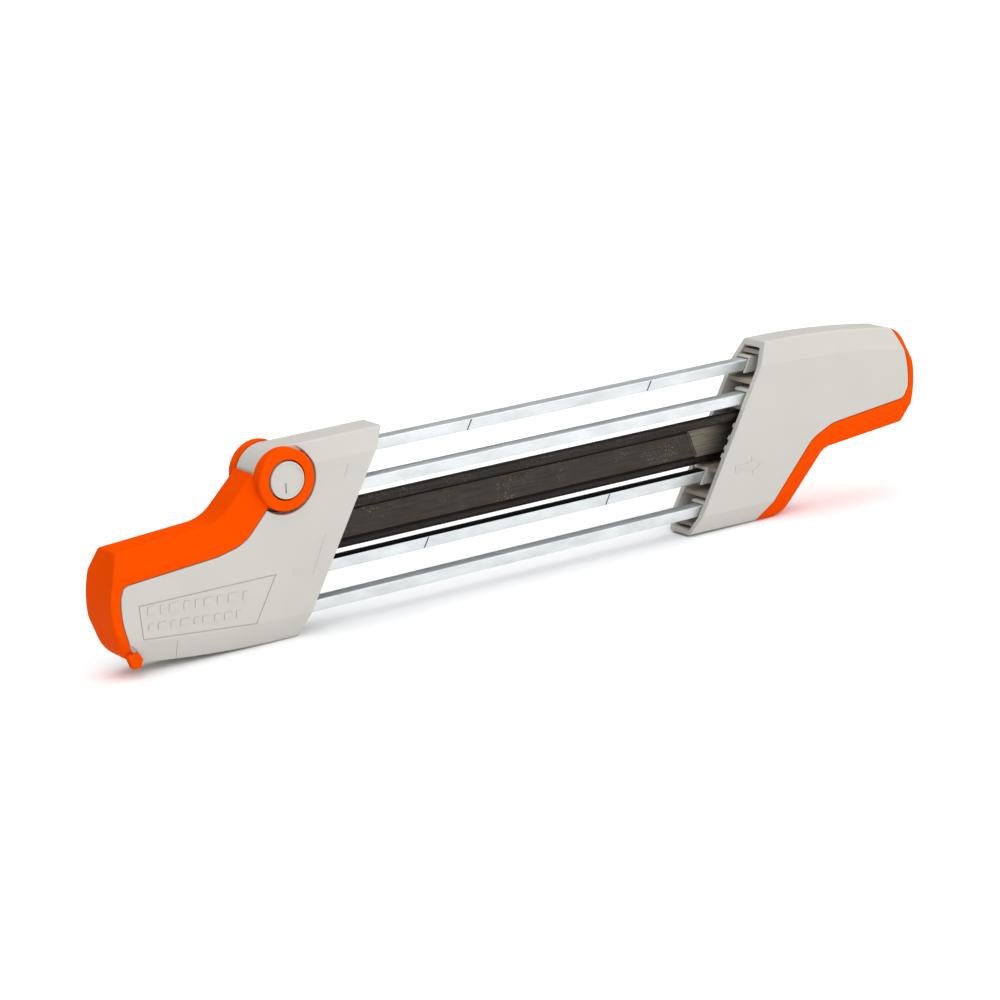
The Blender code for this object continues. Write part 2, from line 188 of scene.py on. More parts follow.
def arc(centre, radius, start, end, steps):
    """Points of an arc, with angles in degrees from the first axis towards the second."""
    turns = [math.radians(start + (end - start) * i / steps) for i in range(steps + 1)]
    return [(centre[0] + radius * math.cos(t), centre[1] + radius * math.sin(t)) for t in turns]


def circle(centre, radius, sides):
    """A polygon with level and upright sides."""
    return arc(centre, radius, 180 / sides, 360 + 180 / sides, sides)[:-1]


def rectangle(low, high):
    """The four corners between the lowest and the highest."""
    return [(low[0], low[1]), (high[0], low[1]), (high[0], high[1]), (low[0], high[1])]


def fillet(before, corner, after, radius, steps):
    """An arc in place of a corner, tangent to both of its sides."""
    corner = Vector(corner)
    one = (Vector(before) - corner).normalized()
    two = (Vector(after) - corner).normalized()
    half = one.angle(two) / 2
    reach = radius / math.tan(half)
    centre = corner + (one + two).normalized() * (radius / math.sin(half))
    start = corner + one * reach - centre
    turn = (corner + two * reach - centre).angle(start)
    if start.x * two.y - start.y * two.x < 0:
        turn = -turn
    made = []
    for i in range(steps + 1):
        made.append(tuple(centre + Matrix.Rotation(turn * i / steps, 2) @ start))
    return made


def rounded(points, radius, steps=4):
    """A closed outline with the same small arc at every corner."""
    made = []
    for i, point in enumerate(points):
        made += fillet(points[i - 1], point, points[(i + 1) % len(points)], radius, steps)
    return made


def offset_chain(points, distance):
    """An open chain moved to its left by distance, corner for corner."""
    normals = []
    for (ax, az), (bx, bz) in zip(points, points[1:]):
        length = math.hypot(bx - ax, bz - az)
        normals.append(((az - bz) / length, (bx - ax) / length))
    moved = []
    for i, (x, z) in enumerate(points):
        before = normals[max(i - 1, 0)]
        after = normals[min(i, len(normals) - 1)]
        reach = distance / (1 + before[0] * after[0] + before[1] * after[1])
        moved.append((x + (before[0] + after[0]) * reach, z + (before[1] + after[1]) * reach))
    return moved


def smooth_chain(points, radius, steps=5):
    """An open chain with an arc at each inner corner."""
    made = [points[0]]
    for before, corner, after in zip(points, points[1:], points[2:]):
        one = math.dist(before, corner)
        two = math.dist(corner, after)
        turn = (Vector(corner) - Vector(before)).angle(Vector(after) - Vector(corner))
        most = 0.45 * min(one, two) / max(math.tan(turn / 2), 1e-3)
        made += fillet(before, corner, after, min(radius, most), steps)
    return made + [points[-1]]


# A handle's outline from the open end's top corner to the outer end. The right handle is
# drawn as it looks when it is turned end for end, and has no hinge.
MOUTH_TOP = (-HALF_GAP + SLANT * HALF_HEIGHT, HALF_HEIGHT)
RISER_TOP = (PIVOT[0] - 11.1, PIVOT[1] + 3.0)
LEFT_BEND, LEFT_TOP_END = (-132.4, 11.45), (-170.7, 9.1)
SHOULDER = (-110.2, HALF_HEIGHT)
RIGHT_BEND, RIGHT_TOP_END = (-132.2, 12.0), (-170.7, 8.8)
UPPER_CHAINS = {
    1: (
        [MOUTH_TOP]
        + arc(PIVOT, HINGE_RADIUS, 90, 154, 16)
        + fillet(RISER_TOP, LEFT_BEND, LEFT_TOP_END, 15.0, 10)
        + [LEFT_TOP_END]
    ),
    -1: (
        [MOUTH_TOP]
        + fillet(MOUTH_TOP, SHOULDER, RIGHT_BEND, 13.0, 12)
        + fillet(SHOULDER, RIGHT_BEND, RIGHT_TOP_END, 8.0, 10)
        + [RIGHT_TOP_END]
    ),
}
BELLY_FROM, BELLY_TO, BELLY_RISE = -170.8, -108.0, 5.3
BELLY_STEPS = 9
LOWER_CHAIN = [
    (
        BELLY_FROM + (BELLY_TO - BELLY_FROM) * i / BELLY_STEPS,
        -HALF_HEIGHT + BELLY_RISE * (1 - i / BELLY_STEPS) ** 2,
    )
    for i in range(BELLY_STEPS + 1)
] + [(-HALF_GAP - SLANT * HALF_HEIGHT, -HALF_HEIGHT)]

COVER_PARTING = smooth_chain(
    [(-111.5, 16.8), (-124.0, 3.6), (-134.5, 1.2), (-149.0, 0.1), (-168.9, -1.4)], 16.0, 8
) + [(-170.6, -2.3)]
CAP_PARTING = smooth_chain(
    [(-95.0, 36.3), (-104.5, 27.0), (-124.0, 6.4), (-134.0, 2.2), (-149.0, 0.8), (-169.0, -1.2)],
    16.0,
    8,
) + [(-170.6, -2.1)]


def meet_end(inner, outer, radius):
    """Where the line through two points leaves the rounded end on the left."""
    dx, dz = outer[0] - inner[0], outer[1] - inner[1]
    fx, fz = inner[0] - END_CENTRE[0], inner[1] - END_CENTRE[1]
    a = dx * dx + dz * dz
    b = fx * dx + fz * dz
    c = fx * fx + fz * fz - radius * radius
    t = (-b + math.sqrt(b * b - a * c)) / a
    return (inner[0] + t * dx, inner[1] + t * dz)


def end_angle(point):
    """Where a point lies round the centre of the handle's outer end, in degrees."""
    turn = math.degrees(math.atan2(point[1] - END_CENTRE[1], point[0] - END_CENTRE[0]))
    return turn % 360


def rounded_corner(arrive, corner, leave, steps=8):
    """A parabola from one point to another, tangent to the lines through the corner."""
    made = []
    for i in range(steps + 1):
        t = i / steps
        spot = Vector(arrive) * (1 - t) ** 2 + Vector(corner) * 2 * t * (1 - t)
        made.append(tuple(spot + Vector(leave) * t * t))
    return made


def handle_outline(side, upper_inset, lower_inset, end_inset, beyond, round_by=0.0):
    """A handle's outline, with its long sides, its outer end and its mouth moved.

    round_by is the radius of the corners at the outer end; those at the mouth have half of it.
    """
    upper = offset_chain(UPPER_CHAINS[side], upper_inset)
    lower = offset_chain(LOWER_CHAIN, lower_inset)
    radius = END_RADIUS - end_inset
    upper[-1] = meet_end(upper[-2], upper[-1], radius)
    lower[0] = meet_end(lower[1], lower[0], radius)
    for chain, i in ((upper, 0), (lower, -1)):
        chain[i] = (-HALF_GAP + SLANT * chain[i][1] + beyond, chain[i][1])
    corner = Vector(lower[0])
    leave = corner + (Vector(lower[1]) - corner).normalized() * CORNER_REACH
    last = end_angle(corner) - math.degrees(CORNER_REACH / radius)
    end = arc(END_CENTRE, radius, end_angle(upper[-1]), last, END_STEPS)
    low_end = rounded_corner(end[-1], corner, leave)
    if not round_by:
        return upper + end[1:-1] + low_end + lower[1:]
    top_mouth = fillet(lower[-1], upper[0], upper[1], round_by / 2, 3)
    top_end = fillet(upper[-2], upper[-1], end[1], round_by, 4)
    low_mouth = fillet(lower[-2], lower[-1], upper[0], round_by / 2, 3)
    return top_mouth + upper[1:-1] + top_end + end[1:-1] + low_end + lower[1:-1] + low_mouth


def section_profile():
    """Half of a handle's cross-section: (y, how far in along the chamfer, edge rounding)."""
    crest, flat = (HALF_CREST, 0.0), (HALF_THICK, CHAMFER_STRAIGHT)
    points = fillet((0.0, 0.0), crest, flat, CREST_ROUND, 5)
    points += fillet(crest, flat, (HALF_THICK, 2 * CHAMFER_STRAIGHT), FLAT_ROUND, 6)
    made = []
    for y, inset in points:
        depth = max(y - (HALF_THICK - EDGE_ROUND), 0.0)
        made.append((y, inset, EDGE_ROUND - math.sqrt(max(EDGE_ROUND**2 - depth**2, 0.0))))
    return made


def wall_inset(chamfer, wall):
    """Where a wall's inner chamfer starts and ends: (depth at the side, half width on top)."""
    deep = HALF_THICK - HALF_CREST
    slope = math.hypot(chamfer, deep)
    return (
        (chamfer * (deep - wall) + wall * slope) / deep,
        HALF_CREST + (deep * wall - wall * slope) / chamfer,
    )


# ---------------------------------------------------------------- solids


def solid(name, rings):
    """A closed mesh through rings of points in millimetres, with flat ends."""
    bm = bmesh.new()
    made = [[bm.verts.new((Vector(p) + LIFT) * MM) for p in ring] for ring in rings]
    for low, high in zip(made, made[1:]):
        for i in range(len(low)):
            j = (i + 1) % len(low)
            bm.faces.new((low[i], low[j], high[j], high[i]))
    bm.faces.new(made[0])
    bm.faces.new(made[-1])
    bmesh.ops.recalc_face_normals(bm, faces=bm.faces)
    mesh = bpy.data.meshes.new(name)
    bm.to_mesh(mesh)
    bm.free()
    obj = bpy.data.objects.new(name, mesh)
    bpy.context.scene.collection.objects.link(obj)
    return obj


def loft(name, axis, layers, side=1):
    """A solid along an axis; side -1 turns it through the middle of the object."""
    rings = []
    for position, points in layers:
        ring = []
        for a, b in points:
            along = position((a, b)) if callable(position) else position
            spot = {"X": (along, a, b), "Y": (a, along, b), "Z": (a, b, along)}[axis]
            ring.append([side * c for c in spot])
        rings.append(ring)
    return solid(name, rings)


def slanted(name, outline, near, far, side):
    """A prism along X whose ends lie parallel to a handle's mouth, near to far behind it."""
    layers = [
        (lambda point, depth=depth: HALF_GAP + SLANT * point[1] + depth, outline)
        for depth in (near, far)
    ]
    return loft(name, "X", layers, side)


def lathe(name, stations):
    """A round solid about the hinge's axis, from (y, radius) stations."""
    return loft(name, "Y", [(y, circle(PIVOT, r, ROUND_SIDES)) for y, r in stations])


def disc(name, radius, start, end):
    """A plain round solid about the hinge's axis, from one depth to another."""
    return lathe(name, [(start, radius), (end, radius)])


def bake(obj):
    """Replaces an object's mesh by what its modifiers make of it."""
    graph = bpy.context.evaluated_depsgraph_get()
    mesh = bpy.data.meshes.new_from_object(obj.evaluated_get(graph))
    old = obj.data
    obj.modifiers.clear()
    obj.data = mesh
    bpy.data.meshes.remove(old)
    return obj


def combine(obj, operation, others):
    """A Boolean with other objects, which it uses up."""
    for other in others:
        modifier = obj.modifiers.new("combine", "BOOLEAN")
        modifier.operation = operation
        modifier.solver = "EXACT"
        modifier.object = other
    bake(obj)
    for other in others:
        bpy.data.objects.remove(other, do_unlink=True)
    return obj


def cut(obj, *others):
    return combine(obj, "DIFFERENCE", others)


def join(obj, *others):
    return combine(obj, "UNION", others)


def keep(obj, *others):
    return combine(obj, "INTERSECT", others)


def gather(objects):
    """Separate solids as one object."""
    bm = bmesh.new()
    for obj in objects:
        bm.from_mesh(obj.data)
    bm.to_mesh(objects[0].data)
    bm.free()
    for obj in objects[1:]:
        bpy.data.objects.remove(obj, do_unlink=True)
    return objects[0]


def tidy_mesh(obj):
    """Merges what the Booleans split, so that flat faces are single faces."""
    bm = bmesh.new()
    bm.from_mesh(obj.data)
    bmesh.ops.remove_doubles(bm, verts=bm.verts, dist=2e-6)
    bmesh.ops.dissolve_degenerate(bm, edges=bm.edges, dist=1e-6)
    bmesh.ops.dissolve_limit(
        bm, angle_limit=math.radians(0.4), verts=bm.verts, edges=bm.edges, delimit={"NORMAL"}
    )
    bm.to_mesh(obj.data)
    bm.free()
    return obj


def dress(obj, material, body, slot, *nodes):
    """Shading, material, and the CAD body and nodes that a piece stands for."""
    obj.data.shade_smooth()
    obj.data.set_sharp_from_angle(angle=math.radians(SHARP_ANGLE))
    obj.data.materials.clear()
    obj.data.materials.append(material)
    modifier = obj.modifiers.new("normals", "WEIGHTED_NORMAL")
    modifier.keep_sharp = True
    bake(obj)
    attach(obj, body)
    if nodes:
        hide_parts(*nodes)


def mirrored(half):
    """Layers on both sides of the middle, from those on one side."""
    return [(-y, outline) for y, outline in reversed(half)] + half


def envelope(name, side):
    """A handle's outer form, with rounded edges."""
    half = []
    for y, inset, edge in section_profile():
        belly = inset * CHAMFER_BELLY / CHAMFER_STRAIGHT
        half.append((y, handle_outline(side, inset, belly, edge, -edge, CORNER_ROUND)))
    return loft(name, "Y", mirrored(half), side)


def hollow(name, side, end_inset, wall=WALL):
    """The room inside a handle's walls, open at its mouth."""
    straight, top_half = wall_inset(CHAMFER_STRAIGHT, wall)
    belly, bottom_half = wall_inset(CHAMFER_BELLY, wall)
    half = min(top_half, bottom_half)
    crest = handle_outline(side, wall, wall, end_inset, FAR)
    flank = handle_outline(side, straight, belly, end_inset, FAR)
    inner = HALF_THICK - wall
    layers = [(-inner, flank), (-half, crest), (half, crest), (inner, flank)]
    return loft(name, "Y", layers, side)


def coloured_region(name, parting, side, grow=0.0, flare=0.0):
    """A slab over the coloured half of a handle, up to its parting line.

    Near the handle's flat sides it widens by flare, which rounds the edge that it cuts.
    """
    strip = arc(END_CENTRE, END_RADIUS - END_STRIPS[side], 173, 222, END_STEPS)
    left = END_CENTRE[0] - END_RADIUS - FAR
    top = HALF_HEIGHT + FAR
    half = []
    for below, part in ((1.0, 0.0), (0.3, 0.3), (0.0, 1.0)):
        y = HALF_THICK - below * FLARE
        edge = offset_chain(parting + strip, grow + part * flare)
        outline = edge + [(edge[-1][0], -top), (left, -top), (left, top), (edge[0][0], top)]
        half.append((y, outline))
    half.append((2 * FAR, half[-1][1]))
    return loft(name, "Y", mirrored(half), side)


# ---------------------------------------------------------------- pieces


def make_left_shell(material):
    """The left handle's grey shell: hollow but for a boss round the pin, with a barrel on top."""
    shell = envelope("left_shell", 1)
    room = cut(hollow("room", 1, -FAR), disc("boss", BOSS_RADIUS, -FAR, FAR))
    cut(shell, coloured_region("cover_space", COVER_PARTING, 1, GAP, FLARE), room)
    cut(shell, ring_groove(-1), ring_groove(1))
    join(shell, disc("barrel", BARREL_RADIUS, -BARREL_HALF, BARREL_HALF))
    cut(shell, ring_recess(-1), ring_recess(1))
    cut(shell, disc("axle_hole", AXLE_ROOM, -FAR, FAR), catch_room())
    emboss_panel(shell, 1)
    emboss_pad(shell)
    emboss_marks(shell)
    emboss_arrow(shell, -1)
    dress(tidy_mesh(shell), material, "guide", "shell", "left_handle_shell")


def ring_recess(sign):
    """The room that a ring turns in, with a rounded edge at the shell's side."""
    stations = [
        (BARREL_HALF, RECESS_RADIUS),
        (HALF_THICK - RECESS_FLARE, RECESS_RADIUS),
        (HALF_THICK, RECESS_RADIUS + RECESS_FLARE),
        (2 * FAR, RECESS_RADIUS + RECESS_FLARE),
    ]
    return lathe("recess", [(sign * y, radius) for y, radius in stations])


def ring_groove(sign):
    """A deep dark groove round the barrel, behind a ring's edge; it stays clear of the crest."""
    groove = disc("groove", GROOVE_RADIUS, sign * GROOVE_FROM, sign * (BARREL_HALF + 1))
    below = rectangle((PIVOT[0] - 2 * FAR, PIVOT[1] - 2 * FAR), (PIVOT[0] + 2 * FAR, GROOVE_TOP))
    return keep(groove, loft("below", "Y", [(-FAR, below), (FAR, below)]))


def catch_room():
    """The notch in the shell that the snap hook lies in and slides out of."""
    left, low, right, top, back = -172, -36, -164.8, -22.4, -7.3
    outline = [(left, low), (right, low), (right, -27.4)]
    outline += [(-166.6, -24.8), (-168.6, top), (left, top)]
    return loft("catch_room", "Y", [(-FAR, outline), (back, outline)])


def make_right_shell(material):
    """The right handle's grey shell."""
    shell = envelope("right_shell", -1)
    cut(shell, hollow("room", -1, -FAR), coloured_region("cap_space", CAP_PARTING, -1, GAP, FLARE))
    join(shell, *mouth_teeth())
    step_below_line(shell)
    emboss_arrow(shell, 1)
    emboss_panel(shell, -1)
    dress(tidy_mesh(shell), material, "guide", "shell", "right_handle_shell")


def mouth_teeth():
    """Small ribs inside the front wall that steady the files' side."""
    front, back = -HALF_THICK + 1.0, -HALF_THICK + WALL + 1.5
    made = []
    for height in TOOTH_HEIGHTS:
        rib = rectangle((front, height - TOOTH_HALF), (back, height + TOOTH_HALF))
        made.append(slanted("tooth", rib, 0.5, 7.0, 1))
    return made


def step_below_line(shell):
    """A faint step on the right shell's front, along a line that follows the parting."""
    near, far, low = 60.0, 172.0, -40.0
    line = [(near, 1.4), (91.0, 0.8), (127.7, -0.6), (150.0, -0.1), (far, 3.2)]
    outline = line + [(far, low), (near, low)]
    deep = HALF_THICK - STEP_DEPTH
    cut(shell, loft("step", "Y", [(-FAR, outline), (-deep, outline)]))


def make_right_cap(material):
    """The right handle's orange lower half and end."""
    cap = envelope("right_cap", -1)
    keep(cap, coloured_region("cap_region", CAP_PARTING, -1, 0.0, -FLARE))
    cut(cap, hollow("cap_room", -1, END_WALL))
    dress(tidy_mesh(cap), material, "guide", "orange", "right_grip_cap")


def make_cover(material):
    """The orange cover over the left grip, with its rings and its snap hook."""
    cover = envelope("cover", 1)
    keep(cover, coloured_region("cover_region", COVER_PARTING, 1, 0.0, -FLARE))
    cut(cover, hollow("cover_room", 1, END_WALL))
    join(cover, make_ring(-1), make_ring(1), make_catch())
    cut(cover, disc("barrel_room", RING_RADIUS + RING_PLAY, -RING_INNER_Y, RING_INNER_Y))
    for sign in (-1, 1):
        cut(cover, ring_bore(sign))
    dress(tidy_mesh(cover), material, "cover", "orange", "file_cover")


def round_over(near, face, radius, edge, steps=5):
    """(y, radius) stations of a disc with a rounded outer edge at its face."""
    sign = 1 if face > near else -1
    stations = [(near, radius)]
    for i in range(steps + 1):
        turn = math.radians(90 * i / steps)
        rise, pull = edge * math.sin(turn), edge * (1 - math.cos(turn))
        stations.append((face - sign * (edge - rise), radius - pull))
    return stations


def make_ring(sign):
    """A ring of the cover; its inner end reaches into the room that is cut for the barrel."""
    start = sign * (RING_INNER_Y - 1)
    return lathe("ring", round_over(start, sign * RING_FACE, RING_RADIUS, RING_ROUND))


def ring_bore(sign):
    """The hole for the pin head, with a small chamfer at the ring's face."""
    wide = BORE_RADIUS + BORE_CHAMFER
    stations = [
        (BARREL_HALF - 1, BORE_RADIUS),
        (RING_FACE - BORE_CHAMFER, BORE_RADIUS),
        (RING_FACE, wide),
        (2 * FAR, wide),
    ]
    return lathe("bore", [(sign * y, radius) for y, radius in stations])


def make_catch():
    """A snap hook on the cover's front, over the shell's lower corner."""
    root_y, inner, outer, notch, soft = -6.2, -7.6, -8.9, -168.9, 0.35
    stages = ((-30.4, -169.2, -166.3), (-27.6, -170.2, -165.2), (-25.2, -170.6, -166.8))
    layers = []
    for z, left, tip in stages:
        outline = [
            (left, outer), (tip - soft, outer), (tip, outer + soft), (tip, inner),
            (notch, inner), (notch, root_y), (left, root_y),
        ]
        layers.append((z, outline))
    return loft("catch", "Z", layers)


def make_pivot_cap(label, sign, material):
    """A pin head: a rim round a shallow dish, with a short slot in its face."""
    face = sign * CAP_FACE
    stations = round_over(sign * RING_INNER_Y, face, RIM_OUTER, RIM_ROUND, 4)
    stations += [
        (face, RIM_INNER),
        (sign * (CAP_FACE - DISH_DEPTH), DISH_RADIUS),
        (sign * (CAP_FACE - DISH_MIDDLE[1]), DISH_MIDDLE[0]),
    ]
    cap = lathe(f"hinge_cap_{label}", stations)
    slot = rectangle((PIVOT[0] - 1.3, PIVOT[1] - 4.4), (PIVOT[0] - 0.5, PIVOT[1] - 0.9))
    cut(cap, loft("slot", "Y", [(face - sign * SLOT_DEPTH, slot), (face + sign, slot)]))
    cut(cap, disc("socket", AXLE_ROOM, 0.0, sign * (AXLE_HALF + 0.1)))
    dress(tidy_mesh(cap), material, "guide", "shell", f"pivot_cap_{label}")


def make_rails(steel, dark):
    """The four rails, the dark marks that two of them have, and a black strip of painted shade on
    the third one's top.
    """
    for name in RAILS:
        low, high = box_mm(name)
        outline = rounded(rectangle((low.y, low.z), (high.y, high.z)), RAIL_ROUND, 3)
        rail = loft(name.replace("guide_", ""), "X", [(low.x, outline), (high.x, outline)])
        dress(rail, steel, "guide", "steel", name)
    for name, places in SCRIBES.items():
        for i, x in enumerate(places):
            make_scribe(f"scribe_{name[-1]}_{i + 1}", name, x, dark)
    make_painted_shade_top(dark)


def make_painted_shade_top(material):
    """A black strip of painted shade on the third rail's top face, where the files above it shade
    it.
    """
    low, high = box_mm("guide_rail_3")
    edge = 0.3
    band = rectangle((low.y + edge, high.z - edge), (high.y - edge, high.z + PROUD))
    strip = loft("rail_3_top", "X", [(low.x + 1, band), (high.x - 1, band)])
    dress(strip, material, "guide", "steel")


def make_scribe(name, rail, x, material):
    """A dark line across a rail's front face, at the filing angle."""
    low, high = box_mm(rail)
    top, bottom = high.z - 0.2, low.z + 0.2
    foot = x - SLANT * (top - bottom)
    outline = [(x, top), (x + SCRIBE_WIDTH, top), (foot + SCRIBE_WIDTH, bottom), (foot, bottom)]
    mark = loft(name, "Y", [(low.y - PROUD, outline), (low.y + 0.3, outline)])
    dress(mark, material, "guide", "file")


def toothed(name, outline, centre, start, end, pitch, rake, lean):
    """A bar along X with a saw-toothed surface.

    rake is how much each tooth narrows the outline, as a factor, and lean is the teeth's
    slant: how far along the bar they move for each millimetre of height.
    """
    count = round((end - start) / pitch)
    low = [(a * (1 - rake), b * (1 - rake / 3)) for a, b in outline]
    layers = []
    for i in range(count):
        for along, points in ((i * pitch, low), ((i + 0.85) * pitch, outline)):
            moved = [(a + centre[0], b + centre[1]) for a, b in points]
            layers.append((lambda point, along=along: start + along + lean * point[1], moved))
    return loft(name, "X", layers)


def make_round_file(name, material):
    """A round file's cut part; its plain ends are hidden in the handles."""
    low, high = box_mm(name)
    ring = circle((0.0, 0.0), (high.z - low.z) / 2, 32)
    spot = ((low.y + high.y) / 2, (low.z + high.z) / 2)
    rod_name = name.replace("_file", "_rod")
    rod = toothed(rod_name, ring, spot, low.x + 3, high.x - 3, *ROUND_TEETH, FILE_LEANS[name])
    dress(rod, material, "guide", "file", name)


def make_flat_file(material, blank, black):
    """The flat file: a cut blade, uncut bands along its edges painted black as shade, and a plain
    heel.
    """
    low, high = box_mm("flat_file")
    lean = FILE_LEANS["flat_file"]
    start, heel = low.x + 4, high.x - FLAT_HEEL
    bottom, top = low.z + SAFE_EDGE_SHADE_BANDS[0], high.z - SAFE_EDGE_SHADE_BANDS[1]
    blade = rounded(rectangle((low.y, bottom), (high.y, top)), 0.2, 2)
    flat = toothed("flat_blade", blade, (0.0, 0.0), start, heel, *FLAT_TEETH, lean)
    dress(flat, material, "guide", "file", "flat_file")
    # Black strips along the blade's upper and lower edges: painted shade for the dark gaps above
    # and below the flat file.
    for label, under, over in (("lower", low.z, bottom + 0.1), ("upper", top - 0.1, high.z)):
        band = rounded(rectangle((low.y + 0.1, under), (high.y - 0.1, over)), 0.1, 2)
        strip = loft(f"flat_edge_painted_shade_{label}", "X", [(start, band), (heel - 2.5, band)])
        dress(strip, black, "guide", "file")
    thin = rounded(rectangle((low.y + 0.12, low.z + 0.05), (high.y - 0.12, high.z - 0.05)), 0.25, 2)
    layers = [(lambda point: heel - 1 + lean * point[1], thin), (high.x, thin)]
    dress(loft("flat_heel", "X", layers), blank, "guide", "file")


def holes_for(names, play, side):
    """Cutters through a handle's inside, one for each bar that passes through it."""
    made = []
    for name in names:
        low, high = box_mm(name)
        room = rectangle((low.y - play, low.z - play), (high.y + play, high.z + play))
        made.append(slanted("hole", room, -FAR, 2 * FAR, side))
    return made


def insert_form(side):
    """What an insert's pieces may fill: the room inside the handle, short of its walls."""
    return hollow("form", -side, -FAR, WALL + 0.05)


def make_insert(label, side, material):
    """Ribs and a bulkhead inside a handle's mouth, in a darkened plastic that paints the shade deep
    in the mouth.
    """
    inner = HALF_THICK - WALL
    tall = HALF_HEIGHT - WALL
    slab = rectangle((-2 * FAR, -tall), (2 * FAR, tall))
    insert = slanted(f"{label}_insert", slab, BULKHEAD_FROM, BULKHEAD_TO, side)
    ribs = []
    for height in RIB_HEIGHTS:
        rib = rectangle((-inner - 1, height - RIB_HALF), (inner + 1, height + RIB_HALF))
        ribs.append(slanted("rib", rib, RIB_FROM, BULKHEAD_FROM + 1, side))
    join(insert, *ribs)
    keep(insert, insert_form(side))
    cut(insert, *holes_for(RAILS, RAIL_PLAY, side))
    cut(insert, *holes_for((*ROUND_FILES, "flat_file"), FILE_PLAY, side))
    dress(tidy_mesh(insert), material, "guide", "insert", f"{label}_rail_insert")


def make_seats(label, side, material):
    """The light collars that hold the rails in a handle's mouth."""
    for name in RAILS:
        seat = rail_seat(f"{label}_seat_{name[-1]}", name, side)
        keep(seat, insert_form(side))
        cut(seat, *holes_for([name], RAIL_PLAY, side))
        dress(tidy_mesh(seat), material, "guide", "insert")


def rail_seat(name, rail, side):
    """An L-shaped collar over a rail's top and front."""
    low, high = box_mm(rail)
    if side < 0:
        low, high = -high, -low
    thick, play = 0.8, 0.45
    front, back, under = low.y - play - thick, high.y + 0.7, low.z - 0.6
    inner, top = front + thick, high.z + play
    collar = [(front, under), (inner, under), (inner, top), (back, top)]
    collar += [(back, top + thick), (front, top + thick)]
    return slanted(name, collar, SEAT_FROM, BULKHEAD_FROM + 1, side)


def raise_relief(shell, outlines, side, height):
    """Low flat shapes on a handle's flat, at the front for side 1 and at the back for -1."""
    layers = [[(-HALF_THICK - height, o), (-HALF_THICK + 1, o)] for o in outlines]
    join(shell, gather([loft("relief", "Y", both, side) for both in layers]))


def sink_line(shell, outline, side, width=0.4, depth=0.3):
    """A groove along a closed outline, on its inside."""
    face = -HALF_THICK
    inner = offset_chain([outline[-1], *outline, outline[0]], width)[1:-1]
    groove = loft("line", "Y", [(face - 1, outline), (face + depth, outline)], side)
    cut(groove, loft("line_inside", "Y", [(face - 2, inner), (face + 1, inner)], side))
    cut(shell, groove)


def dash_outlines(start, end, height, widths):
    """Plain bars of the given widths, spread along a line from start to end."""
    (ax, az), (bx, bz) = start, end
    gap = (bx - ax - sum(widths)) / (len(widths) - 1)
    made, x = [], ax
    for width in widths:
        z = az + (bz - az) * (x - ax) / (bx - ax)
        over, top = x + DASH_LEAN, z + height
        made.append([(x, z), (x + width, z), (over + width, top), (over, top)])
        x += width + gap
    return made


def emboss_panel(shell, side):
    """A framed panel on the grip with two rows of raised dashes."""
    sink_line(shell, PANEL, side)
    dashes = [outline for row in DASH_ROWS for outline in dash_outlines(*row)]
    raise_relief(shell, dashes, side, DASH_RELIEF)


def emboss_pad(shell):
    """A shallow field on the left shell's lower chamfer, below the panel."""
    slope = Vector((HALF_THICK - HALF_CREST, -CHAMFER_BELLY))
    into = Vector((-slope.y, slope.x)).normalized() * PAD_DEPTH
    out = Vector((-FAR, 0.0))
    layers = []
    for x in PAD_SPAN:
        part = (x - BELLY_FROM) / (BELLY_TO - BELLY_FROM)
        edge = -HALF_HEIGHT + BELLY_RISE * (1 - part) ** 2
        top = Vector((-HALF_THICK, edge + CHAMFER_BELLY)) + slope * PAD_TOP + into
        low = top + slope
        layers.append((x, [tuple(p) for p in (top, low, low + out, top + out)]))
    cut(shell, loft("pad", "X", layers))


def emboss_marks(shell):
    """Two thin lines at the filing angle and a short bar, near the open end."""
    slim = [(-98.9, -12.6), (-98.3, -12.6), (-92.0, 0.6), (-92.6, 0.6)]
    bar = [(-106.4, -9.3), (-100.0, -11.0), (-100.2, -12.0), (-106.6, -10.3)]
    upper = [(-83.6, 19.0), (-83.1, 19.0), (-81.0, 23.4), (-81.5, 23.4)]
    raise_relief(shell, [slim, bar, upper], 1, MARK_RELIEF)


def emboss_arrow(shell, side):
    """A plain arrow outline in low relief."""
    tail, neck, tip = 86.0, 94.0, 100.0
    outer = [(tail, -10.0), (neck, -9.6), (neck - 0.3, -7.2), (tip, -11.0), (neck + 0.3, -15.0)]
    outer += [(neck, -12.8), (tail, -12.6)]
    inner = [(tail + 0.8, -10.7), (neck + 0.8, -10.3), (neck + 0.6, -8.9), (tip - 2.0, -11.0)]
    inner += [(neck + 0.9, -13.3), (neck + 0.8, -12.1), (tail + 0.8, -11.9)]
    face = -HALF_THICK
    relief = loft("arrow", "Y", [(face - ARROW_RELIEF, outer), (face + 1, outer)], side)
    cut(relief, loft("arrow_inside", "Y", [(face - 1, inner), (face + 2, inner)], side))
    join(shell, relief)


# ---------------------------------------------------------------- materials


def new_material(name, colour, roughness, metallic=0.0):
    """A Principled material; the caller links what varies over the surface."""
    material = bpy.data.materials.new(name)
    material.use_nodes = True
    shader = material.node_tree.nodes["Principled BSDF"]
    shader.inputs["Base Color"].default_value = (*colour, 1.0)
    shader.inputs["Roughness"].default_value = roughness
    shader.inputs["Metallic"].default_value = metallic
    return material, material.node_tree, shader


def position(tree, scale=(1.0, 1.0, 1.0)):
    """Object coordinates in metres, scaled."""
    coords = tree.nodes.new("ShaderNodeTexCoord")
    mapping = tree.nodes.new("ShaderNodeMapping")
    mapping.inputs["Scale"].default_value = scale
    tree.links.new(coords.outputs["Object"], mapping.inputs["Vector"])
    return mapping.outputs["Vector"]


def noise(tree, vector, scale, detail=3.0, roughness=0.5):
    made = tree.nodes.new("ShaderNodeTexNoise")
    made.inputs["Scale"].default_value = scale
    made.inputs["Detail"].default_value = detail
    made.inputs["Roughness"].default_value = roughness
    tree.links.new(vector, made.inputs["Vector"])
    return made.outputs["Fac"]


